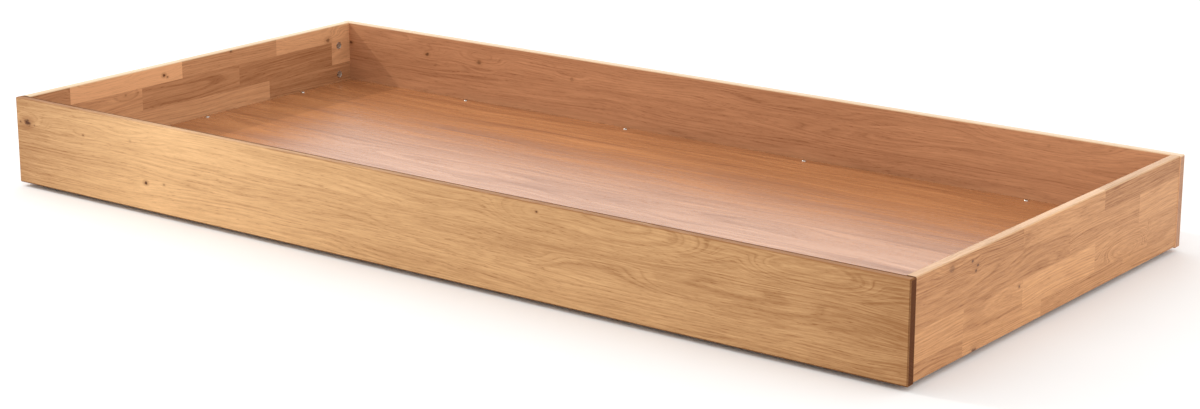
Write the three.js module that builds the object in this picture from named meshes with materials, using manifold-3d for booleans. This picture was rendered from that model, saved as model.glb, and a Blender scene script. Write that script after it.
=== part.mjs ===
// Under bed box: an open, shallow oak box on four fixed castors.
// Millimetres. X runs along the long panels, Y from front (-) to back (+), Z up.
// The origin is on the ground, under the middle of the box.
import * as THREE from 'three';
import { mergeVertices } from 'three/addons/utils/BufferGeometryUtils.js';
import Module from 'manifold-3d';

const wasm = await Module();
wasm.setup();

// --- driving dimensions ---
const LENGTH = 1980; // outside, along X
const WIDTH = 940; // outside, along Y
const PANEL_THICKNESS = 18;
const PANEL_HEIGHT = 168; // front and back panels
const GROUND_GAP = 8; // ground to the lower edge of the front and back panels
const SIDE_SETBACK = 1; // outer face of a side panel behind the ends of the long panels
const SIDE_LIFT = 2; // lower edge of a side panel above that of the long panels
const ROUNDING = 2.5; // radius of the long arrises
const END_ROUNDING = 2; // radius of the arrises at the ends of the long panels

const FLOOR_UNDERSIDE = 42;
const FLOOR_THICKNESS = 8;
const FLOOR_PLAY = 0.5; // gap between the floor and each panel
const BATTEN = 20; // square section of the battens that carry the floor
const RAIL_WIDTH = 40;
const RAIL_X = [-486, 0, 486];

const SCREW_INSET = 10; // screw axis to the panel beside it
const LONG_SCREW_X = [-631, -209, 220, 700];
const SIDE_SCREW_Y = [290, 5, -280];
const SCREW_LENGTH = 25;

const CAM_INSET = 34; // cam axis to the end of the side panel
const CAM_LEVELS = { upper: 130, lower: 66 };
const CAM_RADIUS = 7.5;
const CAM_DEPTH = 12.4;
const DOWEL_LEVEL = 98;
const DOWEL_RADIUS = 4;
const PLUG_DEPTH = 11; // how far bolts and dowels go into the long panels

const CASTOR_Y = 361; // axle to the middle of the box
const WHEEL_RADIUS = 15;
const WHEEL_WIDTH = 14;
const AXLE_RADIUS = 3;
const BRACKET_LENGTH = 56;
const BRACKET_WIDTH = 22;
const PLATE = 2; // sheet thickness of the bracket

const FIT = 0.3; // radial gap between a fastener and its hole

// --- derived places ---
const INNER_X = LENGTH / 2 - SIDE_SETBACK - PANEL_THICKNESS; // inner face of a side panel
const INNER_Y = WIDTH / 2 - PANEL_THICKNESS; // inner face of a long panel
const TOP = GROUND_GAP + PANEL_HEIGHT;
const LONG_CENTRE_Z = GROUND_GAP + PANEL_HEIGHT / 2;
const SIDE_HEIGHT = PANEL_HEIGHT - SIDE_LIFT;
const SIDE_CENTRE_Z = TOP - SIDE_HEIGHT / 2;
const SIDE_CENTRE_X = INNER_X + PANEL_THICKNESS / 2;
const FLOOR_TOP = FLOOR_UNDERSIDE + FLOOR_THICKNESS;
const BATTEN_CENTRE_Z = FLOOR_UNDERSIDE - BATTEN / 2;
const SIDE_BATTEN_LENGTH = 2 * (CASTOR_Y - BRACKET_LENGTH / 2 - 8);

// --- materials ---
const oak = new THREE.MeshStandardMaterial({ color: 0xd8a878, roughness: 0.5, metalness: 0 });
const staves = new THREE.MeshStandardMaterial({ color: 0xc89468, roughness: 0.5, metalness: 0 });
const veneer = new THREE.MeshStandardMaterial({ color: 0xc68e62, roughness: 0.35, metalness: 0 });
const softwood = new THREE.MeshStandardMaterial({ color: 0xdcc197, roughness: 0.7, metalness: 0 });
const beech = new THREE.MeshStandardMaterial({ color: 0xd2a878, roughness: 0.7, metalness: 0 });
const zinc = new THREE.MeshStandardMaterial({ color: 0x9a958c, roughness: 0.45, metalness: 0.9 });
const nickel = new THREE.MeshStandardMaterial({ color: 0xc9c4bb, roughness: 0.3, metalness: 1 });
const sheet = new THREE.MeshStandardMaterial({ color: 0x9ea3a8, roughness: 0.4, metalness: 0.9 });
const plastic = new THREE.MeshStandardMaterial({ color: 0x2a2a2c, roughness: 0.55, metalness: 0 });

// --- solids ---
function solidOf(geometry) {
  geometry.deleteAttribute('normal');
  geometry.deleteAttribute('uv');
  const merged = mergeVertices(geometry, 1e-4);
  const vertProperties = merged.attributes.position.array;
  const triVerts = new Uint32Array(merged.index.array);
  return new wasm.Manifold(new wasm.Mesh({ numProp: 3, vertProperties, triVerts }));
}

function geometryOf(solid) {
  const { vertProperties, triVerts } = solid.getMesh();
  const geometry = new THREE.BufferGeometry();
  geometry.setAttribute('position', new THREE.BufferAttribute(vertProperties, 3));
  geometry.setIndex(new THREE.BufferAttribute(triVerts, 1));
  geometry.computeVertexNormals();
  return geometry;
}

function cut(geometry, cutters) {
  let solid = solidOf(geometry);
  for (const cutter of cutters) solid = solid.subtract(solidOf(cutter));
  return geometryOf(solid);
}

// A shape drawn in (Y, Z) or (Z, X) and extruded along X or Y, centred on the origin.
function extruded(shape, length, axis, bevel = 0) {
  const geometry = new THREE.ExtrudeGeometry(shape, {
    depth: length - 2 * bevel, curveSegments: 3, steps: 1, bevelEnabled: bevel > 0,
    bevelThickness: bevel, bevelSize: bevel, bevelOffset: -bevel, bevelSegments: 3,
  });
  geometry.translate(0, 0, bevel - length / 2);
  const [x, y, z] = [[1, 0, 0], [0, 1, 0], [0, 0, 1]].map((v) => new THREE.Vector3(...v));
  const basis = new THREE.Matrix4();
  if (axis === 'x') basis.makeBasis(y, z, x);
  else basis.makeBasis(z, x, y);
  return geometry.applyMatrix4(basis);
}

function roundedRectangle(width, height, radius) {
  const [w, h] = [width / 2, height / 2];
  const shape = new THREE.Shape();
  shape.moveTo(-w + radius, -h);
  shape.lineTo(w - radius, -h);
  shape.absarc(w - radius, -h + radius, radius, -Math.PI / 2, 0);
  shape.lineTo(w, h - radius);
  shape.absarc(w - radius, h - radius, radius, 0, Math.PI / 2);
  shape.lineTo(-w + radius, h);
  shape.absarc(-w + radius, h - radius, radius, Math.PI / 2, Math.PI);
  shape.lineTo(-w, -h + radius);
  shape.absarc(-w + radius, -h + radius, radius, Math.PI, 1.5 * Math.PI);
  return shape;
}

// A turned solid about the Y axis from [radius, y] pairs that run upwards.
function turned(profile, sides) {
  return new THREE.LatheGeometry(profile.map(([r, y]) => new THREE.Vector2(r, y)), sides);
}

// A straight bore from one point to another.
function bore(radius, from, to, sides = 12) {
  const [a, b] = [new THREE.Vector3(...from), new THREE.Vector3(...to)];
  const run = b.clone().sub(a);
  const geometry = new THREE.CylinderGeometry(radius, radius, run.length(), sides);
  const up = new THREE.Vector3(0, 1, 0);
  geometry.applyQuaternion(new THREE.Quaternion().setFromUnitVectors(up, run.normalize()));
  return geometry.translate(...a.add(b).multiplyScalar(0.5));
}

// --- scene graph ---
const box = new THREE.Group();

function add(parent, name, geometry, material, position = [0, 0, 0], rotation = [0, 0, 0]) {
  const mesh = new THREE.Mesh(geometry, material);
  mesh.name = name;
  mesh.position.set(...position);
  mesh.rotation.set(...rotation);
  parent.add(mesh);
}

// --- front and back panels: their ends cover the side panels ---
function longPanel() {
  const section = roundedRectangle(PANEL_THICKNESS, PANEL_HEIGHT, ROUNDING);
  const inner = PANEL_THICKNESS / 2;
  const bottom = inner - PLUG_DEPTH - 0.5;
  const holes = [];
  for (const x of [-SIDE_CENTRE_X, SIDE_CENTRE_X]) {
    for (const level of Object.values(CAM_LEVELS)) {
      const z = level - LONG_CENTRE_Z;
      holes.push(bore(3.2, [x, bottom, z], [x, inner + 1, z]));
    }
    const z = DOWEL_LEVEL - LONG_CENTRE_Z;
    holes.push(bore(DOWEL_RADIUS + FIT, [x, bottom, z], [x, inner + 1, z]));
  }
  return cut(extruded(section, LENGTH, 'x', END_ROUNDING), holes);
}

function addLongPanels() {
  const geometry = longPanel();
  const y = INNER_Y + PANEL_THICKNESS / 2;
  add(box, 'front_panel', geometry, oak, [0, -y, LONG_CENTRE_Z]);
  add(box, 'back_panel', geometry, oak, [0, y, LONG_CENTRE_Z], [0, 0, Math.PI]);
}

// --- side panels with their cam fittings, dowels, battens and castors ---
// Drawn as the left side with its inner face towards +X; the right side is the same, turned round.
function sidePanel() {
  const section = roundedRectangle(SIDE_HEIGHT, PANEL_THICKNESS, ROUNDING);
  const inner = PANEL_THICKNESS / 2;
  const holes = [];
  for (const end of [-1, 1]) {
    const y = end * INNER_Y;
    const camY = y - end * CAM_INSET;
    for (const level of Object.values(CAM_LEVELS)) {
      const z = level - SIDE_CENTRE_Z;
      holes.push(bore(CAM_RADIUS + FIT, [inner - CAM_DEPTH - 2 * FIT, camY, z], [inner + 1, camY, z], 20));
      holes.push(bore(DOWEL_RADIUS, [0, y + end, z], [0, camY, z]));
    }
    const z = DOWEL_LEVEL - SIDE_CENTRE_Z;
    holes.push(bore(DOWEL_RADIUS + FIT, [0, y + end, z], [0, y - 20 * end, z]));
  }
  return cut(extruded(section, 2 * INNER_Y, 'y'), holes);
}

// Cam lock: its axis along X, its bolt pocket towards +Y.
function camLock() {
  const body = turned([[0, 0], [CAM_RADIUS - 0.5, 0], [CAM_RADIUS, 0.5], [CAM_RADIUS, CAM_DEPTH],
    [0, CAM_DEPTH]], 20);
  body.rotateZ(-Math.PI / 2);
  const axisX = CAM_DEPTH + FIT - PANEL_THICKNESS / 2; // the bolt's axis inside the cam
  const pocket = bore(4, [axisX, -3.5, 0], [axisX, CAM_RADIUS + 1, 0]);
  const slot = new THREE.BoxGeometry(3, 8, 1.6).translate(CAM_DEPTH, 0, 0);
  return cut(body, [pocket, slot]);
}

// Cam bolt: y = 0 at the joint, its thread towards +Y, its head in the cam.
function camBolt() {
  return turned([[0, -36], [3.2, -36], [3.2, -32], [1.8, -31], [1.8, -28], [3.4, -27],
    [3.4, -0.6], [2.8, -0.2], [2.8, PLUG_DEPTH - 1], [0, PLUG_DEPTH]], 12);
}

function dowel() {
  const [low, high] = [-19, PLUG_DEPTH];
  return turned([[0, low], [DOWEL_RADIUS - 1, low], [DOWEL_RADIUS, low + 1],
    [DOWEL_RADIUS, high - 1], [DOWEL_RADIUS - 1, high], [0, high]], 12);
}

// Castor bracket: an upside-down channel along Y, about the middle of the wheel.
function castorBracket() {
  const top = FLOOR_UNDERSIDE - WHEEL_RADIUS;
  const ear = 8; // radius of the plates round the axle
  const cheek = new THREE.Shape();
  cheek.moveTo(-BRACKET_LENGTH / 2, top);
  cheek.lineTo(-BRACKET_LENGTH / 2, top - 12);
  cheek.lineTo(-ear, 0);
  cheek.absarc(0, 0, ear, Math.PI, 2 * Math.PI);
  cheek.lineTo(BRACKET_LENGTH / 2, top - 12);
  cheek.lineTo(BRACKET_LENGTH / 2, top);
  const channel = extruded(cheek, BRACKET_WIDTH, 'x');
  const room = new THREE.BoxGeometry(BRACKET_WIDTH - 2 * PLATE, BRACKET_LENGTH + 2, 2 * top);
  room.translate(0, 0, -PLATE);
  const axleHole = bore(AXLE_RADIUS, [-BRACKET_WIDTH, 0, 0], [BRACKET_WIDTH, 0, 0], 16);
  const screws = [-20, 20].map((y) => bore(2.2, [-BRACKET_WIDTH, y, 19], [0, y, 19]));
  return cut(channel, [room, axleHole, ...screws]);
}

// Castor wheel: its axis along Y until it is turned to X.
function castorWheel() {
  const [w, hub] = [WHEEL_WIDTH / 2, BRACKET_WIDTH / 2 - PLATE - FIT];
  const [bored, rim] = [AXLE_RADIUS + 0.1, WHEEL_RADIUS];
  const wheel = turned([[bored, -hub], [6, -hub], [6, -w + 2], [11, -w + 2], [11, -w], [rim - 1.5, -w],
    [rim, -w + 1.5], [rim, w - 1.5], [rim - 1.5, w], [11, w], [11, w - 2], [6, w - 2], [6, hub],
    [bored, hub], [bored, -hub]], 24);
  return wheel.rotateZ(Math.PI / 2);
}

function axle() {
  const half = BRACKET_WIDTH / 2;
  const shank = AXLE_RADIUS - 0.05;
  const pin = turned([[0, -half], [shank, -half], [shank, half], [5, half], [4, half + 1.5],
    [0, half + 1.5]], 16);
  return pin.rotateZ(-Math.PI / 2);
}

function addSide(side, others) {
  const group = new THREE.Group();
  group.rotation.z = side === 'left' ? 0 : Math.PI;
  box.add(group);
  const { panel, cam, bolt, peg, batten, bracket, wheel, pin } = others;
  add(group, `${side}_side_panel`, panel, staves, [-SIDE_CENTRE_X, 0, SIDE_CENTRE_Z]);
  add(group, `${side}_batten`, batten, softwood, [-INNER_X + BATTEN / 2, 0, BATTEN_CENTRE_Z]);
  for (const end of [-1, 1]) {
    const corner = `${(end < 0) === (side === 'left') ? 'front' : 'back'}_${side}`;
    const flip = end < 0 ? [Math.PI, 0, 0] : [0, 0, 0];
    const camY = end * (INNER_Y - CAM_INSET);
    for (const [level, z] of Object.entries(CAM_LEVELS)) {
      add(group, `cam_lock_${corner}_${level}`, cam, zinc, [-INNER_X - CAM_DEPTH - FIT, camY, z], flip);
      add(group, `cam_bolt_${corner}_${level}`, bolt, nickel, [-SIDE_CENTRE_X, end * INNER_Y, z], flip);
    }
    add(group, `dowel_${corner}`, peg, beech, [-SIDE_CENTRE_X, end * INNER_Y, DOWEL_LEVEL], flip);
    const hub = [-INNER_X + BRACKET_WIDTH / 2, end * CASTOR_Y, WHEEL_RADIUS];
    add(group, `castor_bracket_${corner}`, bracket, sheet, hub);
    add(group, `castor_wheel_${corner}`, wheel, plastic, hub);
    add(group, `castor_axle_${corner}`, pin, nickel, hub);
  }
}

function addSides() {
  const holes = SIDE_SCREW_Y.map((y) => bore(2, [0, y, BATTEN / 2 - 18], [0, y, BATTEN]));
  const sideBatten = new THREE.BoxGeometry(BATTEN, SIDE_BATTEN_LENGTH, BATTEN);
  const shared = { panel: sidePanel(), cam: camLock(), bolt: camBolt(), peg: dowel(),
    bracket: castorBracket(), wheel: castorWheel(), pin: axle() };
  addSide('left', { ...shared, batten: cut(sideBatten.clone(), holes) });
  holes.forEach((hole) => hole.rotateZ(Math.PI));
  addSide('right', { ...shared, batten: cut(sideBatten, holes) });
}

// --- floor, its battens and rails, and its screws ---
const screwPlaces = {};
for (const [edge, sign] of [['front', -1], ['back', 1]]) {
  LONG_SCREW_X.forEach((x, i) => {
    screwPlaces[`${edge}_${i + 1}`] = [x, sign * (INNER_Y - SCREW_INSET)];
  });
}
for (const [edge, sign] of [['left', -1], ['right', 1]]) {
  SIDE_SCREW_Y.forEach((y, i) => {
    screwPlaces[`${edge}_${i + 1}`] = [sign * (INNER_X - SCREW_INSET), y];
  });
}

function addFloor() {
  const size = [2 * (INNER_X - FLOOR_PLAY), 2 * (INNER_Y - FLOOR_PLAY), FLOOR_THICKNESS];
  const top = FLOOR_THICKNESS / 2;
  const holes = Object.values(screwPlaces).map(([x, y]) => {
    const sink = turned([[0, -top - 1], [2.1, -top - 1], [2.1, top - 2], [4, top], [4, top + 1],
      [0, top + 1]], 12);
    return sink.rotateX(Math.PI / 2).translate(x, y, 0);
  });
  const panel = cut(new THREE.BoxGeometry(...size), holes);
  add(box, 'floor_panel', panel, veneer, [0, 0, FLOOR_UNDERSIDE + top]);
}

function addLongBattens() {
  const geometry = new THREE.BoxGeometry(2 * INNER_X, BATTEN, BATTEN);
  const holes = LONG_SCREW_X.map((x) => bore(2, [x, 0, BATTEN / 2 - 18], [x, 0, BATTEN]));
  const batten = cut(geometry, holes);
  const y = INNER_Y - BATTEN / 2;
  add(box, 'front_batten', batten, softwood, [0, -y, BATTEN_CENTRE_Z]);
  add(box, 'back_batten', batten, softwood, [0, y, BATTEN_CENTRE_Z]);
}

function addRails() {
  const rail = new THREE.BoxGeometry(RAIL_WIDTH, 2 * (INNER_Y - BATTEN), BATTEN);
  RAIL_X.forEach((x, i) => add(box, `cross_rail_${i + 1}`, rail, softwood, [x, 0, BATTEN_CENTRE_Z]));
}

function addFloorScrews() {
  const shank = 1.7;
  const profile = [[0, -SCREW_LENGTH], [shank, -SCREW_LENGTH + 3], [shank, -1.9], [3.6, 0], [0, 0]];
  const screw = turned(profile, 12).rotateX(Math.PI / 2);
  for (const [place, [x, y]] of Object.entries(screwPlaces)) {
    add(box, `floor_screw_${place}`, screw, nickel, [x, y, FLOOR_TOP]);
  }
}

addLongPanels();
addSides();
addFloor();
addLongBattens();
addRails();
addFloorScrews();

export default box;
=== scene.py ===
"""Looks of the under bed box: oak boards, fittings and castors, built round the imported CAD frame.

Metres, Z up, X along the box, front at -Y, as in the frame.
"""

import bisect
import math
import random

import bmesh
import bpy
from mathutils import Matrix, Vector


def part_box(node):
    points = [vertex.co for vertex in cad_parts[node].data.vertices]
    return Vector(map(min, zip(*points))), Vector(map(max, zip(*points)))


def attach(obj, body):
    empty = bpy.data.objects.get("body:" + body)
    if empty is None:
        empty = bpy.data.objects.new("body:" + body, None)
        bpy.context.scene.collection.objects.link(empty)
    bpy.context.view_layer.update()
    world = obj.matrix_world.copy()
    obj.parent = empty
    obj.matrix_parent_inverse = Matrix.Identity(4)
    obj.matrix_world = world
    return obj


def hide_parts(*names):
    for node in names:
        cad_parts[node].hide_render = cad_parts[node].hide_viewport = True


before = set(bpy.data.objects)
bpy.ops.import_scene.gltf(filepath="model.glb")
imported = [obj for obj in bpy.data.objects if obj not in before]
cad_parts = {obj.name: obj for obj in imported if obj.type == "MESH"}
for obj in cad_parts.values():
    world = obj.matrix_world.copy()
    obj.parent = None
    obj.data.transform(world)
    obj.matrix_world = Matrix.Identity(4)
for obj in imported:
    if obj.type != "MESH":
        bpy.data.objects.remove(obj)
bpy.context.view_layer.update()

MM = 0.001
SHARP_ANGLE = math.radians(35)  # edges that turn further than this stay sharp
SAME_HEIGHT = 1e-7  # heights closer than this, in metres, count as the same

# --- the view ---
CAMERA_PLACE = Vector((2.806, -3.626, 1.286))
CAMERA_AZIMUTH = math.radians(37.13)
CAMERA_ELEVATION = math.radians(15.40)
CAMERA_LENS = 77.1
CAMERA_CLIP = 60
STUDIO_FLOOR = 14  # half the width of the pale floor

# --- boards ---
ARRIS = 2.5 * MM  # rounding of the long arrises
END_ARRIS = 2.0 * MM  # rounding at the ends of the front and back boards
ARRIS_STEPS = 5
RIM_SHARE = 0.6  # how much of the arris's height still counts as the rim, which gets the painted light of the rim
EDGE_STRIP = 6 * MM  # width of the strip of painted shade along the inner side of a rim
GRAIN_SHIFT = 30  # a stave's grain starts up to this many metres along its log, either way

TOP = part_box("front_panel")[1].z
FLOOR_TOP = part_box("floor_panel")[1].z

# Heights of the glue lines between lamellas, down from the rim.
LONG_GLUE_LINES = [53 * MM, 106 * MM]
SIDE_GLUE_LINES = [36 * MM, 86 * MM, 136 * MM]


class Stave:
    """One lamella: where it ends along its row, its tone, and where the pith of its log lies."""

    def __init__(self, end, tone, pith_up, pith_deep):
        self.end = end * MM
        self.tone = tone
        self.pith_up = pith_up * MM  # above the board's middle
        self.pith_deep = pith_deep * MM  # out from the board's middle, through its thickness


# Rows from the rim down, each from -X to +X or from -Y to +Y. Ends are in mm along the board.
# A positive tone is lighter than the board's mean colour.
FRONT_ROWS = [
    [Stave(990, -0.37, 20, 38)],
    [Stave(990, -0.44, -46, 70)],
    [Stave(990, -0.40, 54, 80)],
]
BACK_ROWS = [
    [Stave(990, 0.06, -16, 40)],
    [Stave(990, -0.05, 60, 64)],
    [Stave(990, -0.02, -58, 76)],
]
RIGHT_ROWS = [
    [Stave(-119, -0.26, 12, 44), Stave(165, 0.20, 55, 60), Stave(452, -0.34, -48, 66)],
    [Stave(44, -0.14, 50, 70), Stave(299, 0.04, -60, 58), Stave(452, 0.36, 30, 44)],
    [Stave(-305, 0.28, 45, 70), Stave(-115, 0.30, -22, 46), Stave(137, 0.48, 58, 60),
     Stave(337, 0.16, 6, 30), Stave(452, 0.0, -52, 62)],
    [Stave(-305, 0.0, -40, 60), Stave(-50, 0.30, 35, 58), Stave(244, -0.04, 60, 50),
     Stave(452, 0.12, -30, 66)],
]
LEFT_ROWS = [
    [Stave(-350, -0.30, 40, 60), Stave(-50, 0.95, 8, 34), Stave(224, -0.05, -56, 62),
     Stave(452, 0.46, 24, 40)],
    [Stave(-162, 0.14, 50, 56), Stave(112, -0.26, 30, 62), Stave(395, -0.52, -44, 70),
     Stave(452, 0.40, 20, 60)],
    [Stave(-188, 0.06, 30, 64), Stave(200, 0.14, -50, 60), Stave(452, -0.46, 46, 72)],
    [Stave(-260, -0.06, 40, 60), Stave(60, 0.20, -36, 58), Stave(452, -0.10, 60, 66)],
]


class Figure:
    """A place where the grain bends round a knot or makes a long arch."""

    def __init__(self, along, below_rim, length, height, lift, knot=0.0, dark=0.0):
        self.centre = (along * MM, TOP - below_rim * MM)
        self.size = (length * MM, height * MM)
        self.lift = lift  # how many rings the grain is raised by
        self.knot = knot * MM  # radius of the dark knot
        self.dark = dark  # how dark the knot is, from 0 to 1


FRONT_FIGURES = [
    Figure(-959, 46, 70, 22, 2.2, 6.4, 1.0),
    Figure(-979, 47, 40, 6, 0.4, 2.0, 0.8),
    Figure(-940, 49, 40, 8, 0.5, 1.8, 0.5),
    Figure(-803, 48, 40, 10, 0.8, 1.8, 0.65),
    Figure(-675, 40, 130, 24, 1.5, 2.2, 0.2),
    Figure(-637, 114, 48, 14, 1.4, 3.0, 1.0),
    Figure(-589, 110, 24, 7, 0.4, 2.0, 0.4),
    Figure(286, 14, 44, 14, 1.2, 1.7, 0.95),
    Figure(420, 24, 270, 44, 7.5),
    Figure(815, 30, 150, 30, 4.5),
    Figure(120, 92, 240, 30, 2.6),
    Figure(700, 92, 300, 30, 2.4),
]
BACK_FIGURES = [
    Figure(-746, 42, 90, 22, 2.2, 3.6, 0.8),
    Figure(-602, 41, 90, 24, 2.4, 4.4, 0.6),
    Figure(-966, 44, 60, 18, 1.6, 3.0, 0.9),
    Figure(-354, 44, 60, 16, 1.2, 3.6, 0.35),
    Figure(-870, 30, 160, 30, 3.4),
    Figure(735, 20, 200, 36, 5.0, 3.0, 0.15),
    Figure(200, 40, 260, 30, 2.6),
]
RIGHT_FIGURES = [
    Figure(-346, 14, 60, 18, 1.6, 5.5, 0.45),
    Figure(-283, 16, 30, 11, 0.8, 2.2, 0.9),
    Figure(-266, 26, 30, 11, 0.8, 2.4, 1.0),
    Figure(-271, 34, 26, 10, 0.7, 2.2, 1.0),
    Figure(-127, 95, 28, 11, 0.9, 2.2, 0.8),
    Figure(-268, 165, 50, 18, 1.4, 5.5, 0.9),
    Figure(250, 108, 110, 30, 5.5),
    Figure(-40, 60, 150, 24, 1.2),
]
LEFT_FIGURES = [
    Figure(384, 29, 70, 20, 2.0, 4.4, 0.65),
    Figure(-101, 21, 70, 19, 2.0, 2.8, 0.95),
    Figure(-92, 26, 40, 8, 0.6, 2.0, 0.6),
    Figure(90, 3, 20, 8, 0.5, 2.6, 0.7),
    Figure(-207, 43, 44, 14, 1.2, 1.8, 0.4),
    Figure(-250, 16, 130, 28, 4.0),
    Figure(330, 14, 110, 24, 4.0),
]


# --- fittings ---
LOCK_SEAT = 7.8 * MM  # radius of the seats bored for the cam locks
CASTOR_SHEET = 2 * MM  # thickness of the castor brackets
CASTOR_SCREW_STEP = 20 * MM  # the castor screws' places, either side of the axle
CASTOR_SCREW_RISE = 19 * MM  # and above its middle
PROUD = 0.1 * MM  # how far a screw's rim stands out of the wood
FLOOR_SCREW_PROUD = 0.3 * MM
LONG_BATTEN_SCREWS = (-840, -330, 120, 620, 880)  # in mm along X
SHORT_BATTEN_SCREWS = (-200, 100, 240)  # in mm along Y
RAIL_SCREWS = (0.08, 0.5, 0.92)  # shares of the rail's length
DOME_STEPS = 6

CORNERS = [(end, side) for side in ("left", "right") for end in ("front", "back")]
LEVELS = ("upper", "lower")
RAILS = ("cross_rail_1", "cross_rail_2", "cross_rail_3")
NO_TURN = Matrix.Identity(4)
HALF_TURN = {axis: Matrix.Rotation(math.pi, 4, axis) for axis in "XZ"}


# --- meshes ---
def finish_mesh(bm, name):
    """A new object from bm, with its faces turned out, smooth but for its sharp edges."""
    bmesh.ops.recalc_face_normals(bm, faces=bm.faces)
    mesh = bpy.data.meshes.new(name)
    bm.to_mesh(mesh)
    bm.free()
    mesh.polygons.foreach_set("use_smooth", [True] * len(mesh.polygons))
    mesh.set_sharp_from_angle(angle=SHARP_ANGLE)
    piece = bpy.data.objects.new(name, mesh)
    bpy.context.scene.collection.objects.link(piece)
    return piece


def place(piece, material, slot, *nodes, body="box"):
    """Gives a piece its material and body, and hides the CAD nodes that it stands for; slot is not used.
    """
    piece.data.materials.clear()
    piece.data.materials.append(material)
    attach(piece, body)
    if nodes:
        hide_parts(*nodes)


def weigh_normals(piece):
    """Keeps broad flat faces flat beside narrow rounded ones."""
    modifier = piece.modifiers.new("flat_faces", "WEIGHTED_NORMAL")
    modifier.keep_sharp = True


def apply_modifiers(piece):
    """Makes what the modifiers give the piece's own mesh."""
    graph = bpy.context.evaluated_depsgraph_get()
    made = bpy.data.meshes.new_from_object(piece.evaluated_get(graph))
    piece.modifiers.clear()
    old, piece.data = piece.data, made
    bpy.data.meshes.remove(old)


def board_outline(half_height, half_thickness, inset, glue_lines):
    """The section of a board, all round, as (height, depth) pairs about its middle."""
    high, deep = half_height - inset, half_thickness - inset
    radius = ARRIS - inset
    points = [(line, deep) for line in glue_lines]
    for quarter, (up, out) in enumerate(((1, 1), (1, -1), (-1, -1), (-1, 1))):
        centre = (up * (high - radius), out * (deep - radius))
        for k in range(ARRIS_STEPS + 1):
            turn = math.pi / 2 * (quarter + k / ARRIS_STEPS)
            points.append((centre[0] + radius * math.sin(turn), centre[1] + radius * math.cos(turn)))
        # an extra point on the rim bounds the strip of painted shade along its inner side
        if quarter == 0:
            points.append((high, deep - EDGE_STRIP))
        if quarter == 1:
            points += [(line, -deep) for line in reversed(glue_lines)]
    return points


class EndsAndPaintedLight:
    """How a board's ends and edges differ from its faces: dark end grain, partly painted shade, painted
    shade on the arrises and painted light on the rim.
    """

    def __init__(self, first_end=1.0, last_end=1.0, lower_edge_shade=0.0, inner_edge_shade=0.0, end_edge_shade=0.0,
                 rim_light=0.0, rim_highlight=0.0):
        self.ends = (first_end, last_end)  # how much of the dark end grain shows, from 0 to 1; partly the wood's own end grain, partly painted shade
        self.lower_edge_shade = lower_edge_shade  # painted shade: how dark the arrises along the bottom are, from 0 to 1
        self.inner_edge_shade = inner_edge_shade  # painted shade, the same for the strip of the rim on the +depth side
        self.end_edge_shade = end_edge_shade  # painted shade, the same for the arrises at the ends
        self.rim_light = rim_light  # painted light: how much lighter the rim is; a value below 0 paints it darker, as painted shade
        self.rim_highlight = rim_highlight  # painted highlight: how pale and cream the rim is, from 0 to 1


def board_stations(half_length, end_arris, rows):
    """The places along a board that need a section, each with how far that section is drawn in."""
    stations = []
    for k in range(ARRIS_STEPS + 1 if end_arris else 1):
        turn = math.pi / 2 * k / ARRIS_STEPS
        back, inset = end_arris * (1 - math.cos(turn)), end_arris * (1 - math.sin(turn))
        stations += [(half_length - back, inset), (back - half_length, inset)]
    joints = {stave.end for row in rows for stave in row}
    stations += [(joint, 0.0) for joint in joints if joint < half_length - end_arris - MM]
    return sorted(stations)


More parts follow.
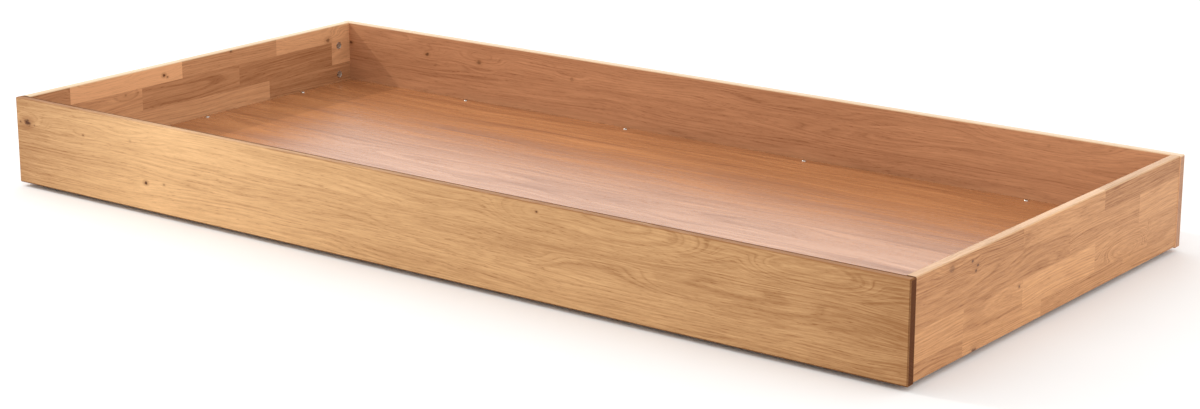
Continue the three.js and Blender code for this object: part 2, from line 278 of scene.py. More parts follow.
def board(name, node, axes, glue_lines, rows, end_arris, seed, ends_and_light):
    """A board in the place of a CAD panel. axes are the letters of its length, height and depth."""
    draw = random.Random(seed)
    low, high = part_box(node)
    along, up, deep = ("xyz".index(a) for a in axes)
    centre, half = (low + high) / 2, (high - low) / 2
    lines = sorted(TOP - line - centre[up] for line in glue_lines)
    rows = rows[::-1]  # from the lowest row up, as the glue lines run
    shifts = {id(stave): draw.uniform(-GRAIN_SHIFT, GRAIN_SHIFT) for row in rows for stave in row}

    bm = bmesh.new()
    tone = bm.faces.layers.float.new("stave_tone_and_rim_light")
    pith = bm.faces.layers.float_vector.new("stave_pith")
    grain = bm.faces.layers.float.new("end_grain_and_shade")
    edge = bm.faces.layers.float.new("painted_edge_shade")
    pale = bm.faces.layers.float.new("rim_highlight")

    def mark(face, height, depth, at, end=0.0):
        """Writes the stave and the edges that a face belongs to, for the material to read."""
        row = rows[bisect.bisect(lines, height)]
        stave = next((s for s in row if at < s.end), row[-1])
        # the rim gets its painted light here: lighter as painted highlight, darker as painted shade
        rim = height > half[up] - ARRIS * RIM_SHARE
        face[tone] = stave.tone + (ends_and_light.rim_light if rim else 0.0)
        face[pale] = ends_and_light.rim_highlight if rim else 0.0
        face[pith] = (shifts[id(stave)], centre[up] + stave.pith_up, centre[deep] + stave.pith_deep)
        face[grain] = end
        # painted shade on the bottom arrises, the inner strip of the rim and the end arrises
        if height < ARRIS - half[up] and abs(depth) > half[deep] - ARRIS:
            face[edge] = ends_and_light.lower_edge_shade
        if height > half[up] - ARRIS and depth > half[deep] - EDGE_STRIP:
            face[edge] = ends_and_light.inner_edge_shade
        if abs(at) > half[along] - end_arris:
            face[edge] = max(face[edge], ends_and_light.end_edge_shade)

    stations = board_stations(half[along], end_arris, rows)
    rings = []
    for at, inset in stations:
        ring = []
        for height, depth in board_outline(half[up], half[deep], inset, lines):
            corner = [0.0, 0.0, 0.0]
            corner[along] = centre[along] + at
            corner[up] = centre[up] + height
            corner[deep] = centre[deep] + depth
            ring.append(bm.verts.new(corner))
        rings.append(ring)
    outline = board_outline(half[up], half[deep], 0.0, lines)
    count = len(outline)
    for (at_a, _), (at_b, _), ring_a, ring_b in zip(stations, stations[1:], rings, rings[1:]):
        for k in range(count):
            after = (k + 1) % count
            face = bm.faces.new((ring_a[k], ring_a[after], ring_b[after], ring_b[k]))
            height, depth = ((outline[k][i] + outline[after][i]) / 2 for i in (0, 1))
            mark(face, height, depth, (at_a + at_b) / 2)

    # each end is closed by one face for each row
    levels = [-half[up], *lines, half[up]]
    for ring, (at, _), end in zip((rings[0], rings[-1]), (stations[0], stations[-1]), ends_and_light.ends):
        for floor, roof in zip(levels, levels[1:]):
            corners = [vert for vert, (height, _) in zip(ring, outline)
                       if floor - SAME_HEIGHT <= height <= roof + SAME_HEIGHT]
            mark(bm.faces.new(corners), (floor + roof) / 2, 0.0, at, end)
    return finish_mesh(bm, name)


def turned(name, profile, sides, axis="z"):
    """A solid turned about Z or X from (radius, height) pairs.

    The profile starts and ends on the axis, or it ends where it starts.
    """
    bm = bmesh.new()
    turns = [2 * math.pi * k / sides for k in range(sides)]
    rings = []
    for radius, height in profile:
        if radius:
            spots = [(radius * math.cos(t), radius * math.sin(t), height) for t in turns]
        else:
            spots = [(0, 0, height)]
        rings.append([bm.verts.new(spot) for spot in spots])
    for a, b in zip(rings, rings[1:]):
        for k in range(sides):
            after = (k + 1) % sides
            corners = []
            for vert in (a[k % len(a)], a[after % len(a)], b[after % len(b)], b[k % len(b)]):
                if vert not in corners:
                    corners.append(vert)
            bm.faces.new(corners)
    if axis == "x":
        bmesh.ops.transform(bm, matrix=Matrix.Rotation(math.pi / 2, 4, "Y"), verts=bm.verts)
    return finish_mesh(bm, name)


def rod(name, radius, reach, sides):
    """A plain rod along X, from -reach to reach, to cut a hole with."""
    return turned(name, [(0, -reach), (radius, -reach), (radius, reach), (0, reach)], sides, "x")


def dome(radius, height, base=0.0):
    """The profile of a dome for a turned solid, from its rim up to its top on the axis."""
    turns = [math.pi / 2 * k / DOME_STEPS for k in range(DOME_STEPS)]
    rise = [(radius * math.cos(t), base + height * math.sin(t)) for t in turns]
    return rise + [(0, base + height)]


def bar(name, size, bevel=0.0):
    """A straight bar, with eased edges where a bevel is given."""
    bm = bmesh.new()
    bmesh.ops.create_cube(bm, size=1.0)
    bmesh.ops.scale(bm, vec=size, verts=bm.verts)
    if bevel:
        bmesh.ops.bevel(bm, geom=bm.edges[:], offset=bevel, segments=2, affect="EDGES")
    return finish_mesh(bm, name)


def prism(name, outline, low, high, axis="x"):
    """A closed outline in (Y, Z), drawn out along X from low to high, or in (X, Z) along Y."""
    bm = bmesh.new()
    rings = []
    for at in (low, high):
        spots = [(at, a, b) if axis == "x" else (a, at, b) for a, b in outline]
        rings.append([bm.verts.new(spot) for spot in spots])
    for k in range(len(outline)):
        after = (k + 1) % len(outline)
        bm.faces.new((rings[0][k], rings[0][after], rings[1][after], rings[1][k]))
    for ring in rings:
        bm.faces.new(ring)
    return finish_mesh(bm, name)


def arc(centre, radius, start, end, steps):
    """Points on an arc, with its angles in degrees."""
    turns = [math.radians(start + (end - start) * k / steps) for k in range(steps + 1)]
    return [(centre[0] + radius * math.cos(t), centre[1] + radius * math.sin(t)) for t in turns]


def move(piece, offset):
    """Shifts a piece's mesh."""
    piece.data.transform(Matrix.Translation(offset))
    return piece


def twin(master, name, matrix):
    """A copy of a master piece, put in place."""
    mesh = master.data.copy()
    mesh.name = name
    mesh.transform(matrix)
    piece = bpy.data.objects.new(name, mesh)
    bpy.context.scene.collection.objects.link(piece)
    return piece


def drop(*masters):
    """Removes the masters once their twins are made."""
    for master in masters:
        bpy.data.objects.remove(master)


def carve(piece, cutters, operation="DIFFERENCE"):
    """Cuts the cutters out of the piece, or keeps what they share with it, and removes them."""
    for cutter in cutters:
        modifier = piece.modifiers.new("cut", "BOOLEAN")
        modifier.operation = operation
        modifier.solver = "EXACT"
        modifier.object = cutter
    apply_modifiers(piece)
    for cutter in cutters:
        bpy.data.objects.remove(cutter)
    piece.data.set_sharp_from_angle(angle=SHARP_ANGLE)
    return piece


# --- material nodes ---
class Shader:
    """A material and short calls for the nodes in it."""

    def __init__(self, name):
        self.material = bpy.data.materials.new(name)
        self.material.use_nodes = True
        self.tree = self.material.node_tree
        self.tree.nodes.clear()

    def node(self, kind, inputs, output=0, **settings):
        made = self.tree.nodes.new(kind)
        for key, value in settings.items():
            setattr(made, key, value)
        for key, value in inputs.items():
            self.feed(made.inputs[key], value)
        return made.outputs[output]

    def feed(self, socket, value):
        if isinstance(value, bpy.types.NodeSocket):
            self.tree.links.new(value, socket)
        else:
            socket.default_value = value

    def math(self, operation, a, b=0.0, c=0.0):
        return self.node("ShaderNodeMath", {0: a, 1: b, 2: c}, operation=operation)

    def add(self, a, b):
        return self.math("ADD", a, b)

    def scale(self, a, factor):
        return self.math("MULTIPLY", a, factor)

    def vector(self, x, y, z):
        return self.node("ShaderNodeCombineXYZ", {0: x, 1: y, 2: z})

    def parts(self, vector):
        made = self.tree.nodes.new("ShaderNodeSeparateXYZ")
        self.feed(made.inputs[0], vector)
        return list(made.outputs)

    def noise(self, vector, scale=1.0, detail=2.0, roughness=0.5):
        inputs = {"Vector": vector, "Scale": scale, "Detail": detail, "Roughness": roughness}
        return self.node("ShaderNodeTexNoise", inputs)

    def swing(self, vector, detail, roughness, reach=0.5):
        """Noise about 0, from -reach to reach."""
        noise = self.noise(vector, 1.0, detail, roughness)
        return self.math("MULTIPLY_ADD", noise, reach * 2, -reach)

    def remap(self, value, low, high, to_low=0.0, to_high=1.0, smooth=True):
        inputs = {"Value": value, "From Min": low, "From Max": high, "To Min": to_low, "To Max": to_high}
        kind = "SMOOTHSTEP" if smooth else "LINEAR"
        return self.node("ShaderNodeMapRange", inputs, interpolation_type=kind)

    def ramp(self, value, stops):
        made = self.tree.nodes.new("ShaderNodeValToRGB")
        self.feed(made.inputs[0], value)
        elements = made.color_ramp.elements
        while len(elements) < len(stops):
            elements.new(0.5)
        for element, (at, grey) in zip(elements, stops):
            element.position = at
            element.color = (grey, grey, grey, 1.0)
        return made.outputs[0]

    def mix(self, factor, a, b):
        made = self.tree.nodes.new("ShaderNodeMix")
        made.data_type = "RGBA"
        self.feed(made.inputs[0], factor)
        for socket, value in ((made.inputs[6], a), (made.inputs[7], b)):
            self.feed(socket, (*value, 1.0) if isinstance(value, tuple) else value)
        return made.outputs[2]

    def attribute(self, name, output="Fac"):
        made = self.tree.nodes.new("ShaderNodeAttribute")
        made.attribute_name = name
        return made.outputs[output]

    def coordinates(self):
        made = self.tree.nodes.new("ShaderNodeTexCoord")
        return made.outputs["Object"]

    def normal(self):
        made = self.tree.nodes.new("ShaderNodeNewGeometry")
        return made.outputs["Normal"]

    def surface(self, bump=None, bump_distance=0.0, bump_strength=0.0, **sockets):
        """The finished material; the keywords are the shader's own sockets."""
        made = self.tree.nodes.new("ShaderNodeBsdfPrincipled")
        for key, value in sockets.items():
            socket = made.inputs[key.replace("_", " ")]
            self.feed(socket, (*value, 1.0) if isinstance(value, tuple) and len(value) == 3 else value)
        if bump is not None:
            inputs = {"Height": bump, "Distance": bump_distance, "Strength": bump_strength}
            self.feed(made.inputs["Normal"], self.node("ShaderNodeBump", inputs))
        end = self.tree.nodes.new("ShaderNodeOutputMaterial")
        self.feed(end.inputs["Surface"], made.outputs[0])
        return self.material


def figure_bump(shader, point, figure):
    """1 in the middle of a figure, falling to 0 at its edge."""
    return shader.remap(squared_distance(shader, point, figure.centre, figure.size), 0.0, 1.0, 1.0, 0.0)


def squared_distance(shader, point, centre, size):
    """How far a point is from a centre, squared and measured in the given sizes."""
    offset = shader.node("ShaderNodeVectorMath", {0: point, 1: (*centre, 0.0)}, operation="SUBTRACT")
    shrink = (1 / size[0], 1 / size[1], 0.0)
    offset = shader.node("ShaderNodeVectorMath", {0: offset, 1: shrink}, operation="MULTIPLY")
    return shader.node("ShaderNodeVectorMath", {0: offset, 1: offset}, 1, operation="DOT_PRODUCT")


SPREAD = (0.46, 0.58, 0.68)  # how far light and dark wood lie from the mean, in red, green and blue
KNOT = (0.095, 0.031, 0.010)
KNOT_HALO = (0.30, 0.125, 0.045)
KNOT_STRETCH = 1.35  # a knot's length over its height
HALO_STRENGTH = 0.45  # how strong a knot's halo is beside its core
# the next colour is the end grain's own, and it also paints the painted shade on the edges
END_GRAIN_AND_EDGE_SHADE = (0.100, 0.031, 0.008)
END_GRAIN_DARK = (0.050, 0.014, 0.003)
# the cream colour of the painted highlight on the rims
RIM_HIGHLIGHT_COLOUR = (0.66, 0.50, 0.31)
EDGE_ROUGHNESS = 0.5  # how much rougher the dark edges are


class OakLook:
    """The colour and the grain of one kind of oak."""

    def __init__(self, mean, ring=4.5, fibre=(80, 3.6), rings=0.36, streaks=0.9, fibres=1.5, pores=0.6,
                 bands=0.9, wander=26.0, roughness=0.42, specular=0.28, drift=()):
        self.light = tuple(c * (1 + s) for c, s in zip(mean, SPREAD))
        self.dark = tuple(c * (1 - s) for c, s in zip(mean, SPREAD))
        self.ring = ring * MM  # spacing of the growth rings
        self.fibre = tuple(size * MM for size in fibre)  # length and width of the bundles of fibres
        self.rings = rings  # this and the next four: how strongly each kind of grain shows
        self.streaks = streaks
        self.fibres = fibres
        self.pores = pores
        self.bands = bands
        self.wander = wander * MM  # how far the rings wander
        self.roughness = roughness
        self.specular = specular
        self.drift = drift  # slow changes of tone along the board, each (tone, from, to)


def knots(shader, point, figures, colour):
    """Paints the figures' knots over the colour: a dark core in a brown halo with a ragged edge."""
    along, up, _ = shader.parts(point)
    ragged = shader.vector(shader.scale(along, 140), shader.scale(up, 260), 0.0)
    ragged = shader.swing(ragged, 2.0, 0.5, reach=1.5)
    core = halo = None
    for figure in figures:
        if not figure.knot:
            continue
        size = (figure.knot * KNOT_STRETCH, figure.knot)
        distance = shader.add(squared_distance(shader, point, figure.centre, size), ragged)
        # the core fades out at about 1.3 of the knot's radius, and the halo at 2.8
        this_core = shader.remap(distance, 0.1, 1.6, figure.dark, 0.0)
        this_halo = shader.remap(distance, 0.5, 8.0, figure.dark * HALO_STRENGTH, 0.0)
        core = this_core if core is None else shader.math("MAXIMUM", core, this_core)
        halo = this_halo if halo is None else shader.math("MAXIMUM", halo, this_halo)
    if core is None:
        return colour
    return shader.mix(core, shader.mix(halo, colour, KNOT_HALO), KNOT)


def growth_rings(s, run, rings, shift, look):
    """Thin dark lines of open early wood with paler late wood between; gives them and their phase."""
    uneven = s.noise(s.vector(s.scale(run, 2.0), s.scale(rings, 0.7), shift), 1.0, 2.0)
    phase = s.math("FRACT", s.math("MULTIPLY_ADD", uneven, 2.4, rings))
    line = s.ramp(phase, [(0.0, 1.0), (0.16, 0.75), (0.34, 0.30), (0.62, 0.16), (0.88, 0.34), (1.0, 1.0)])
    strength = s.noise(s.vector(s.scale(run, 3.0), s.scale(rings, 0.4), shift), 1.0, 2.0)
    strength = s.remap(strength, 0.34, 0.66, 0.2 * look.rings, 1.3 * look.rings)
    mean_line = 0.38  # taken off, so that strong rings don't darken the whole board
    return s.scale(s.add(line, -mean_line), strength), phase


def ends_and_edges(s, axis, ring, colour):
    """Paints the rim's painted highlight, the dark end grain, partly painted shade, and the painted shade
    on the edges over the colour.
    """
    # painted highlight on the rim
    colour = s.mix(s.attribute("rim_highlight"), colour, RIM_HIGHLIGHT_COLOUR)
    # the dark end grain, partly the wood's own and partly painted shade
    facing = s.parts(s.normal())["xyz".index(axis)]
    facing = s.remap(s.math("ABSOLUTE", facing), 0.75, 0.98)
    facing = s.math("MULTIPLY", facing, s.attribute("end_grain_and_shade"))
    colour = s.mix(facing, colour, s.mix(s.remap(ring, -0.15, 0.2), END_GRAIN_AND_EDGE_SHADE, END_GRAIN_DARK))
    # painted shade on the dark edges, in the end grain's colour
    return s.mix(s.attribute("painted_edge_shade"), colour, END_GRAIN_AND_EDGE_SHADE)


def oak(name, axes, look, figures=()):
    """Sawn oak: rings round a pith outside the board, streaks, fibres, pores, knots and end grain, with
    painted light and shade on the rim and painted shade on the edges.

    The numbers that scale a place are cells of noise per metre, and on rings they are cells per ring.
    """
    s = Shader(name)
    xyz = s.parts(s.coordinates())
    along, up, deep = (xyz["xyz".index(a)] for a in axes)
    shift, pith_up, pith_deep = s.parts(s.attribute("stave_pith", "Vector"))

    # distance from the pith, in rings; the pith wanders along the log
    run = s.add(along, shift)
    slow = s.vector(s.scale(run, 1.6), s.scale(up, 7.0), s.scale(deep, 7.0))
    other = s.vector(s.add(s.scale(run, 1.3), 9.3), s.scale(up, 6.0), s.scale(deep, 6.0))
    away_up = s.add(s.math("SUBTRACT", up, pith_up), s.swing(slow, 2.5, 0.55, look.wander))
    away_deep = s.add(s.math("SUBTRACT", deep, pith_deep), s.swing(other, 2.0, 0.5, look.wander))
    squares = s.add(s.scale(away_up, away_up), s.scale(away_deep, away_deep))
    rings = s.scale(s.math("SQRT", squares), 1 / look.ring)
    point = s.vector(along, up, 0.0)
    for figure in figures:
        rings = s.math("MULTIPLY_ADD", figure_bump(s, point, figure), figure.lift, rings)
    ring, phase = growth_rings(s, run, rings, shift, look)

    # bands and streaks follow the rings; fibres and pores follow the length of the board
    bands = s.swing(s.vector(s.scale(run, 1.5), s.scale(rings, 0.26), shift), 2.0, 0.5)
    streaks = s.swing(s.vector(s.scale(run, 3.4), s.scale(rings, 1.7), shift), 3.0, 0.65)
    long, wide = look.fibre
    fibres = s.vector(s.scale(run, 1 / long), s.scale(away_up, 1 / wide), s.scale(away_deep, 1 / wide))
    fibres = s.swing(fibres, 3.5, 0.72)
    pores = s.vector(s.scale(run, 60.0), s.scale(away_up, 900.0), s.scale(away_deep, 900.0))
    pores = s.remap(s.noise(pores, 1.0, 1.5, 0.55), 0.54, 0.70)
    pores = s.scale(pores, s.remap(phase, 0.1, 0.6, 1.0, 0.3))

    # how dark the wood is, about 0
    value = s.math("MULTIPLY_ADD", streaks, look.streaks, ring)
    value = s.math("MULTIPLY_ADD", fibres, look.fibres, value)
    value = s.math("MULTIPLY_ADD", bands, look.bands, value)
    value = s.math("MULTIPLY_ADD", pores, look.pores, value)
    # each stave's own tone, with the painted light of the rim added on the rim
    value = s.math("SUBTRACT", value, s.attribute("stave_tone_and_rim_light"))
    for end_tone, low, high in look.drift:
        value = s.math("SUBTRACT", value, s.remap(along, low, high, 0.0, end_tone, smooth=False))
    colour = s.mix(s.remap(value, -1.0, 1.0, smooth=False), look.light, look.dark)
    colour = knots(s, point, figures, colour)
    colour = ends_and_edges(s, axes[0], ring, colour)

    height = s.math("MULTIPLY_ADD", pores, -1.0, s.scale(fibres, 0.6))
    rough = s.math("MULTIPLY_ADD", value, 0.10, look.roughness)
    rough = s.math("MULTIPLY_ADD", s.attribute("painted_edge_shade"), EDGE_ROUGHNESS, rough)
    return s.surface(height, bump_distance=0.12 * MM, bump_strength=0.35, Base_Color=colour,
                     Roughness=rough, Specular_IOR_Level=look.specular)


def metal(name, colour, roughness, scratch=0.08):
    """Plated metal with fine uneven polish; the roughness swings by scratch."""
    s = Shader(name)
    point = s.coordinates()
    polish = s.noise(point, 900.0, 3.0, 0.6)
    cloud = s.noise(point, 75.0, 2.0, 0.5)
    shade = s.mix(s.remap(cloud, 0.3, 0.7), colour, tuple(c * 0.82 for c in colour))
    rough = s.math("MULTIPLY_ADD", polish, scratch * 2, roughness - scratch)
    return s.surface(polish, bump_distance=0.03 * MM, bump_strength=0.3, Base_Color=shade,
                     Metallic=1.0, Roughness=rough)


def plastic(name, colour, roughness):
    """Moulded plastic with a faint grain."""
    s = Shader(name)
    point = s.coordinates()
    grain = s.noise(point, 2600.0, 2.0, 0.5)
    cloud = s.noise(point, 60.0, 2.0, 0.5)
    shade = s.mix(s.remap(cloud, 0.3, 0.7), colour, tuple(c * 1.35 for c in colour))
    rough = s.math("MULTIPLY_ADD", grain, 0.12, roughness - 0.06)
    return s.surface(grain, bump_distance=0.05 * MM, bump_strength=0.4, Base_Color=shade,
                     Roughness=rough)


# --- materials ---
# the front board's drift is mostly painted light: lighter from just past its left end and darker towards
# its right end, as the key light falls off along it; the darker far left end is the wood's own
front_oak = OakLook((0.560, 0.320, 0.147), fibre=(70, 2.8), streaks=0.55, fibres=1.8, bands=0.8,
                    specular=0.15, drift=((0.95, -0.98, -0.62), (-0.50, -0.60, 0.0),
                                          (-0.45, 0.0, 0.98), (-0.30, 0.80, 0.98)))
back_oak = OakLook((0.465, 0.222, 0.109), drift=((0.50, 0.4, 0.95),))
left_oak = OakLook((0.54, 0.280, 0.136), rings=0.5, bands=0.6, fibres=1.4, pores=0.5)
right_oak = OakLook((0.457, 0.215, 0.084), rings=0.65, streaks=1.2, bands=0.5, fibre=(60, 2.4),
                    fibres=2.3, pores=0.5)
floor_oak = OakLook((0.416, 0.170, 0.063), ring=9.0, fibre=(380, 13), streaks=1.6, fibres=2.0,
                    bands=2.0, pores=0.4, wander=40.0, roughness=0.27, specular=0.85)
batten_oak = OakLook((0.62, 0.435, 0.255), ring=4.0, roughness=0.6)

MATERIALS = {
    "front": oak("oak_front_board", "xzy", front_oak, FRONT_FIGURES),
    "back": oak("oak_back_board", "xzy", back_oak, BACK_FIGURES),
    "left": oak("oak_left_staves", "yzx", left_oak, LEFT_FIGURES),
    "right": oak("oak_right_staves", "yzx", right_oak, RIGHT_FIGURES),
    "floor": oak("oak_floor_veneer", "xyz", floor_oak),
    "batten_x": oak("batten_along_x", "xyz", batten_oak),
    "batten_y": oak("batten_along_y", "yxz", batten_oak),
    "dowel": oak("beech_dowel", "yzx", batten_oak),
    "zinc": metal("cam_zinc", (0.66, 0.62, 0.56), 0.5),
    "bright": metal("bright_steel", (0.72, 0.70, 0.66), 0.24, scratch=0.05),
    "sheet": metal("castor_sheet_steel", (0.55, 0.56, 0.58), 0.36),
    "plastic": plastic("castor_plastic", (0.022, 0.022, 0.024), 0.45),
}


# --- the boards ---
def make_long_boards():
    # the rim values paint light and shade on the rims, the edge values paint shade on the arrises, and the
    # end values set the dark end grain, partly painted shade
    front = EndsAndPaintedLight(0.55, 1.0, lower_edge_shade=0.75, inner_edge_shade=0.8, end_edge_shade=0.6, rim_light=-0.8)
    back = EndsAndPaintedLight(0.55, 0.4, lower_edge_shade=0.4, rim_light=0.4, rim_highlight=0.75)
    for side, rows, seed, ends_and_light in (("front", FRONT_ROWS, 11, front), ("back", BACK_ROWS, 12, back)):
        node = f"{side}_panel"
        piece = board(f"{side}_board", node, "xzy", LONG_GLUE_LINES, rows, END_ARRIS, seed, ends_and_light)
        place(piece, MATERIALS[side], "oak_boards", node)
        weigh_normals(piece)


def lock_seat(node, side):
    """A cutter for a cam lock's seat, which breaks through the board's inner face."""
    low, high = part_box(node)
    inwards = 2.5 * MM * (1 if side == "left" else -1)
    return move(rod("seat", LOCK_SEAT, 9 * MM, 40), (low + high) / 2 + Vector((inwards, 0, 0)))


def make_side_boards():
    # the rim values paint a highlight on the rims
    left = EndsAndPaintedLight(rim_light=0.4, rim_highlight=0.75)
    right = EndsAndPaintedLight(rim_light=0.6, rim_highlight=0.3)
    for side, rows, seed, ends_and_light in (("left", LEFT_ROWS, 21, left), ("right", RIGHT_ROWS, 22, right)):
        node = f"{side}_side_panel"
        piece = board(f"{side}_side_board", node, "yzx", SIDE_GLUE_LINES, rows, 0.0, seed, ends_and_light)
        carve(piece, [lock_seat(f"cam_lock_{end}_{side}_{level}", side)
                      for end in ("front", "back") for level in LEVELS])
        place(piece, MATERIALS[side], "oak_staves", node)
        weigh_normals(piece)


# --- cam locks and screws ---
def cam_master():
    """A cam lock facing +X: rimmed face with a cross slot and an arrow, its open side towards -Y."""
    radius, length, dish = 7.5 * MM, 12.4 * MM, 0.5 * MM
    profile = [(0, -length), (radius - 0.3 * MM, -length), (radius, 0.3 * MM - length),
               (radius, -0.6 * MM), (radius - 0.5 * MM, 0), (6.1 * MM, 0), (5.7 * MM, -dish), (0, -dish)]
    cam = turned("cam", profile, 48, "x")
    mouth_at, mouth_radius, mouth_depth = -7.6 * MM, 4.4 * MM, 7 * MM
    mouth = prism("mouth", arc((mouth_at, 0), mouth_radius, 0, 345, 23), -mouth_depth, MM)
    long, thin, deep, aside = 8.4 * MM, 1.5 * MM, 5 * MM, 1.2 * MM  # the cross slot
    slots = [bar("slot", (deep, long, thin)), bar("slot", (deep, thin, long))]
    tail, tip, half = 5.2 * MM, 6.6 * MM, 1.0 * MM  # the arrow
    arrow = prism("arrow", [(tail, half), (tip, 0), (tail, -half)], -half, half)
    return carve(cam, [mouth, *[move(slot, (0, aside, 0)) for slot in slots], arrow])


def make_cams():
    """The cam locks, turned tight: the open side of each points away from its bolt."""
    master = cam_master()
    for end, side in CORNERS:
        for level in LEVELS:
            node = f"cam_lock_{end}_{side}_{level}"
            low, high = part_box(node)
            face = (low + high) / 2
            face.x = high.x if side == "left" else low.x
            turn = NO_TURN if side == "left" else HALF_TURN["Z"]
            if (side == "left") == (end == "front"):
                turn = turn @ HALF_TURN["X"]
            cam = twin(master, f"cam_{end}_{side}_{level}", Matrix.Translation(face) @ turn)
            place(cam, MATERIALS["zinc"], "cam_zinc", node)
    drop(master)


def screw_master(length, shank, head, sink, crown):
    """A screw along Z with its rim at z = 0: a domed cross head over a cone, and a ridged thread.

    shank and head are radii, sink is the cone's height and crown the dome's.
    """
    pitch, valley = 1.6 * MM, shank * 0.72
    profile = [(0, -length), (shank * 0.55, -length + 2 * pitch)]
    at = -length + 2 * pitch
    while at < -sink - 2 * pitch:
        profile += [(valley, at + 0.2 * pitch), (shank, at + 0.5 * pitch), (valley, at + 0.8 * pitch)]
        at += pitch
    profile += [(shank * 0.8, -sink - 0.5 * pitch), (shank, -sink), (head, -0.25 * MM)]
    screw = turned("screw", profile + dome(head, crown), 32)
    long, thin, deep = head * 1.15, 1.1 * MM, 3.6 * MM  # the cross recess
    recess = [bar("recess", (long, thin, deep)), bar("recess", (thin, long, deep))]
    return carve(screw, [move(cutter, (0, 0, crown)) for cutter in recess])


def set_screw(master, name, head_at, points_to, *nodes):
    """A screw with its head's rim at a place, driven in the given direction."""
    turn = Vector(points_to).to_track_quat("-Z", "Y").to_matrix().to_4x4()
    screw = twin(master, name, Matrix.Translation(Vector(head_at)) @ turn)
    place(screw, MATERIALS["bright"], "bright_steel", *nodes)


def make_floor_screws():
    """The screws that hold the floor, in the places of the CAD ones."""
    master = screw_master(25 * MM, shank=1.7 * MM, head=4.7 * MM, sink=2.4 * MM, crown=1.8 * MM)
    for node in [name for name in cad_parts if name.startswith("floor_screw")]:
        low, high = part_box(node)
        spot = ((low.x + high.x) / 2, (low.y + high.y) / 2, FLOOR_TOP + FLOOR_SCREW_PROUD)
        set_screw(master, node.replace("floor_screw", "screw_floor"), spot, (0, 0, -1), node)
    drop(master)


def make_batten_screws():
    """The screws through the battens into the boards."""
    master = screw_master(30 * MM, shank=1.8 * MM, head=3.6 * MM, sink=2.2 * MM, crown=0.4 * MM)
    for side, out in (("front", -1), ("back", 1)):
        low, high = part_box(f"{side}_batten")
        inner = (low.y if out > 0 else high.y) - PROUD * out
        for k, x in enumerate(LONG_BATTEN_SCREWS):
            spot = (x * MM, inner, (low.z + high.z) / 2)
            set_screw(master, f"screw_{side}_batten_{k + 1}", spot, (0, out, 0))
    for side, out in (("left", -1), ("right", 1)):
        low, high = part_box(f"{side}_batten")
        inner = (low.x if out > 0 else high.x) - PROUD * out
        for k, y in enumerate(SHORT_BATTEN_SCREWS):
            spot = (inner, y * MM, (low.z + high.z) / 2)
            set_screw(master, f"screw_{side}_batten_{k + 1}", spot, (out, 0, 0))
    drop(master)


def make_rail_screws():
    """The screws through the cross rails into the floor."""
    master = screw_master(24 * MM, shank=1.7 * MM, head=3.6 * MM, sink=2.2 * MM, crown=0.4 * MM)
    for rail in RAILS:
        low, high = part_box(rail)
        for k, share in enumerate(RAIL_SCREWS):
            spot = ((low.x + high.x) / 2, low.y + share * (high.y - low.y), low.z - PROUD)
            set_screw(master, f"screw_{rail}_{k + 1}", spot, (0, 0, 1))
    drop(master)


def make_castor_screws():
    """The screws through the castor brackets into the side boards."""
    master = screw_master(14 * MM, shank=1.7 * MM, head=3.2 * MM, sink=1.0 * MM, crown=1.2 * MM)
    for end, side in CORNERS:
        low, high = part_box(f"castor_bracket_{end}_{side}")
        out = -1 if side == "left" else 1
        plate = (low.x if out < 0 else high.x) - out * CASTOR_SHEET
        axle_low, axle_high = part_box(f"castor_axle_{end}_{side}")
        height = (axle_low.z + axle_high.z) / 2 + CASTOR_SCREW_RISE
        for k, step in enumerate((-CASTOR_SCREW_STEP, CASTOR_SCREW_STEP)):
            spot = (plate, (low.y + high.y) / 2 + step, height)
            set_screw(master, f"screw_castor_{end}_{side}_{k + 1}", spot, (out, 0, 0))
    drop(master)


# --- castors, battens and rails ---
def bracket_master():
    """A bent channel over its axle, which runs along X, with the screw holes in its -X side."""
    wide, top, foot = 11 * MM, 27 * MM, -9 * MM
    bend, inner = 3 * MM, 1 * MM  # outer and inner radius of the bends
    inside = wide - CASTOR_SHEET
    section = [(-wide, foot)] + arc((bend - wide, top - bend), bend, 180, 90, 6)
    section += arc((wide - bend, top - bend), bend, 90, 0, 6) + [(wide, foot), (inside, foot)]
    section += arc((inside - inner, top - CASTOR_SHEET - inner), inner, 0, 90, 4)
    section += arc((inner - inside, top - CASTOR_SHEET - inner), inner, 90, 180, 4) + [(-inside, foot)]
    half, shoulder, corner, nose = 28 * MM, 17 * MM, 2 * MM, 8 * MM  # the cheeks, seen along X
    above, across = 30 * MM, 20 * MM  # past the channel's top and sides
    channel = prism("channel", section, -half, half, "y")
    cheek = [(-half, above), (-half, shoulder)]
    cheek += arc((corner - half, shoulder), corner, 180, 240, 4) + arc((0, 0), nose, 200, 340, 16)
    cheek += arc((half - corner, shoulder), corner, 300, 360, 4) + [(half, above)]
    carve(channel, [prism("cheek", cheek, -across, across)], "INTERSECT")
    holes = [rod("hole", 3 * MM, 12 * MM, 32)]
    for step in (-CASTOR_SCREW_STEP, CASTOR_SCREW_STEP):
        holes.append(move(rod("hole", 2.1 * MM, 4 * MM, 24), (-wide, step, CASTOR_SCREW_RISE)))
    return carve(channel, holes)


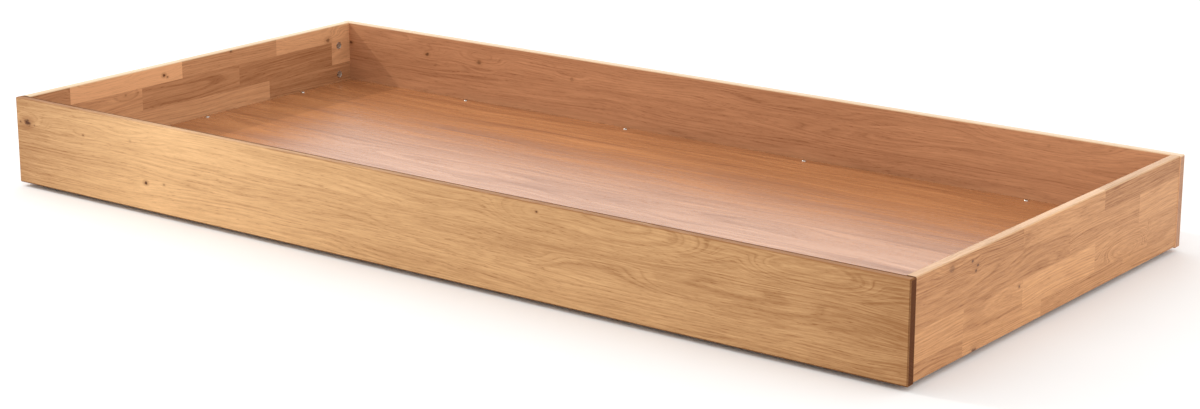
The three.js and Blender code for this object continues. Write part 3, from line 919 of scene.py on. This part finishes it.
def wheel_master():
    """A moulded wheel about X: crowned tread with two grooves, hub, and six ribs on each side."""
    half, rim, groove = 7 * MM, 15 * MM, 0.4 * MM  # half the tread's width, its radius, groove depth
    tread = [(rim - 1.6 * MM, -half), (rim - 0.5 * MM, 0.4 * MM - half), (rim - 0.1 * MM, 1.5 * MM - half)]
    for at in (-2.4 * MM, 2.4 * MM):
        tread += [(rim, at - 0.5 * MM), (rim - groove, at - 0.2 * MM),
                  (rim - groove, at + 0.2 * MM), (rim, at + 0.5 * MM)]
    tread += [(radius, -at) for radius, at in reversed(tread[:3])]
    bore, boss, well = 3.1 * MM, 6.0 * MM, 11.0 * MM  # radii
    hub, web = 8.7 * MM, 5 * MM  # half the widths of the hub and of the disc between it and the tread
    near = [(bore, 0.3 * MM - hub), (bore + 0.3 * MM, -hub), (boss - 0.5 * MM, -hub),
            (boss - 0.1 * MM, 0.4 * MM - hub), (boss, -web), (well, -web),
            (well + 0.2 * MM, 0.3 * MM - half), (well + 0.6 * MM, -half)]
    far = [(radius, -at) for radius, at in reversed(near)]
    wheel = turned("wheel", near + tread + far + [near[0]], 64, "x")
    pockets = []
    outer, inner, floor, above = 10.6 * MM, 6.9 * MM, 1.6 * MM, 5.6 * MM  # the pockets between the ribs
    for face in (-1, 1):
        low, high = sorted((face * floor, face * above))
        for turn in range(0, 360, 60):
            outline = arc((0, 0), outer, turn + 9, turn + 51, 6)
            outline += arc((0, 0), inner, turn + 46, turn + 14, 4)
            pockets.append(prism("pocket", outline, low, high))
    return carve(wheel, pockets)


def axle_master():
    """A rivet along X, its set head towards +X."""
    half, radius, head, crown = 11 * MM, 2.95 * MM, 5 * MM, 1.5 * MM
    pin = [(0, -half), (radius - 0.35 * MM, -half), (radius, 0.4 * MM - half), (radius, half)]
    return turned("axle", pin + dome(head, crown, half), 40, "x")


def make_castors():
    """Bracket, wheel and axle at each corner; the wheels ride on their own bodies."""
    bracket, wheel, axle = bracket_master(), wheel_master(), axle_master()
    for end, side in CORNERS:
        corner = f"{end}_{side}"
        low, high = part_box(f"castor_wheel_{corner}")
        turn = HALF_TURN["Z"] if side == "right" else NO_TURN
        spot = Matrix.Translation((low + high) / 2) @ turn
        place(twin(bracket, f"castor_channel_{corner}", spot), MATERIALS["sheet"], "castor_steel",
              f"castor_bracket_{corner}")
        place(twin(wheel, f"castor_roller_{corner}", spot), MATERIALS["plastic"], "castor_plastic",
              f"castor_wheel_{corner}", body=f"wheel_{corner}")
        place(twin(axle, f"castor_rivet_{corner}", spot), MATERIALS["bright"], "bright_steel",
              f"castor_axle_{corner}")
    drop(bracket, wheel, axle)


def make_battens():
    """Battens and rails with eased edges in the places of the CAD ones."""
    for node in ("front_batten", "back_batten", "left_batten", "right_batten", *RAILS):
        low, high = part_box(node)
        name = node.replace("batten", "ledge").replace("rail", "bearer")
        piece = move(bar(name, high - low, 0.8 * MM), (low + high) / 2)
        oak_along = "batten_x" if node in ("front_batten", "back_batten") else "batten_y"
        place(piece, MATERIALS[oak_along], "batten_wood", node)


def dress_nodes():
    """Better materials on the CAD nodes that keep their shape."""
    dress = {"floor_panel": ("floor", "oak_floor")}
    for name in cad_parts:
        if name.startswith("cam_bolt"):
            dress[name] = ("bright", "bright_steel")
        elif name.startswith("dowel"):
            dress[name] = ("dowel", "dowel_beech")
    for name, (material, slot) in dress.items():
        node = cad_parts[name]
        node.data.materials.clear()
        node.data.materials.append(MATERIALS[material])


# --- stage ---
def make_camera():
    data = bpy.data.cameras.new("camera")
    data.lens = CAMERA_LENS
    data.clip_end = CAMERA_CLIP
    camera = bpy.data.objects.new("camera", data)
    camera.location = CAMERA_PLACE
    flat = math.cos(CAMERA_ELEVATION)
    look = Vector((-math.sin(CAMERA_AZIMUTH) * flat, math.cos(CAMERA_AZIMUTH) * flat,
                   -math.sin(CAMERA_ELEVATION)))
    camera.rotation_euler = look.to_track_quat("-Z", "Y").to_euler()
    bpy.context.scene.collection.objects.link(camera)
    bpy.context.scene.camera = camera


def make_floor():
    bm = bmesh.new()
    bmesh.ops.create_grid(bm, x_segments=1, y_segments=1, size=STUDIO_FLOOR)
    floor = finish_mesh(bm, "studio_floor")
    s = Shader("studio_floor")
    soft = s.noise(s.coordinates(), 3.0, 2.0, 0.5)
    shade = s.mix(s.remap(soft, 0.2, 0.8), (0.84, 0.84, 0.84), (0.86, 0.86, 0.86))
    floor.data.materials.append(s.surface(Base_Color=shade, Roughness=0.9))


def area_light(name, spot, target, size, power, colour=(1, 1, 1)):
    """A round light of a given width, in metres and watts, pointed at a target."""
    data = bpy.data.lights.new(name, "AREA")
    data.shape = "DISK"
    data.size = size
    data.energy = power
    data.color = colour
    light = bpy.data.objects.new(name, data)
    light.location = spot
    light.rotation_euler = (Vector(target) - Vector(spot)).to_track_quat("-Z", "Y").to_euler()
    bpy.context.scene.collection.objects.link(light)


def make_light():
    """A white studio, a small warm key that casts the shadow inside the box, and two soft fills."""
    world = bpy.data.worlds.new("studio")
    world.use_nodes = True
    background = world.node_tree.nodes["Background"]
    background.inputs["Color"].default_value = (1.0, 0.99, 0.98, 1.0)
    background.inputs["Strength"].default_value = 1.18
    bpy.context.scene.world = world
    area_light("key", (-3.9, -1.2, 2.7), (-0.4, 0.1, 0.1), size=0.06, power=70, colour=(1.0, 0.97, 0.93))
    area_light("right_softbox", (3.6, -0.3, 1.4), (0.9, 0, 0.1), size=1.6, power=14)
    area_light("back_softbox", (-2.45, 4.2, 1.9), (0.3, 0, 0.1), size=4.2, power=22)
    bpy.context.scene.view_settings.view_transform = "Standard"


make_camera()
make_floor()
make_light()
make_long_boards()
make_side_boards()
make_cams()
make_floor_screws()
make_batten_screws()
make_rail_screws()
make_castor_screws()
make_battens()
make_castors()
dress_nodes()
